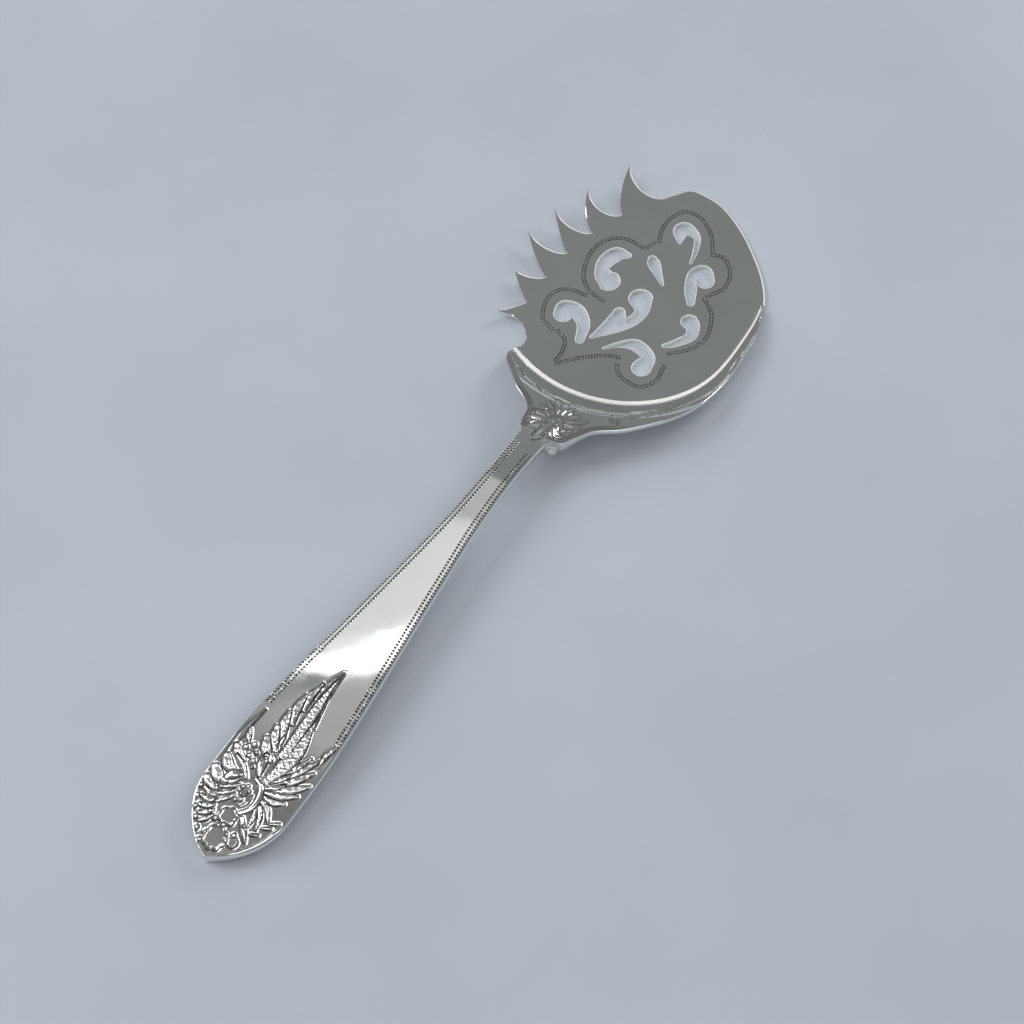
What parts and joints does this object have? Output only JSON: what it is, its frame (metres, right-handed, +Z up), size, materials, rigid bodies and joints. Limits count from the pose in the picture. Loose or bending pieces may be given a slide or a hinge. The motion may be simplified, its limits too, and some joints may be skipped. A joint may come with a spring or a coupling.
{
  "type": "cucumber server",
  "caption": "Silver serving utensil with a round pierced plate, a toothed edge, a raised wall round its near side and a long flat handle, for lifting thin slices.",
  "frame": {"origin": "bottom centre of the bounding box, on the table the server lies on", "axes": "+X from the handle's tip to the plate, +Y towards the toothed edge, +Z up from the table"},
  "size_m": [0.165, 0.0496, 0.0078],
  "materials": {
    "polished_silver": "polished silver with fine wear scratches",
    "silver_solder": "dressed hard solder, a little duller than the silver"
  },
  "bodies": {
    "root": {"blade": "polished_silver", "raised_wall": "polished_silver", "handle": "polished_silver", "crease_solder_seam": "silver_solder", "neck_solder_seam": "silver_solder"}
  },
  "joints": []
}
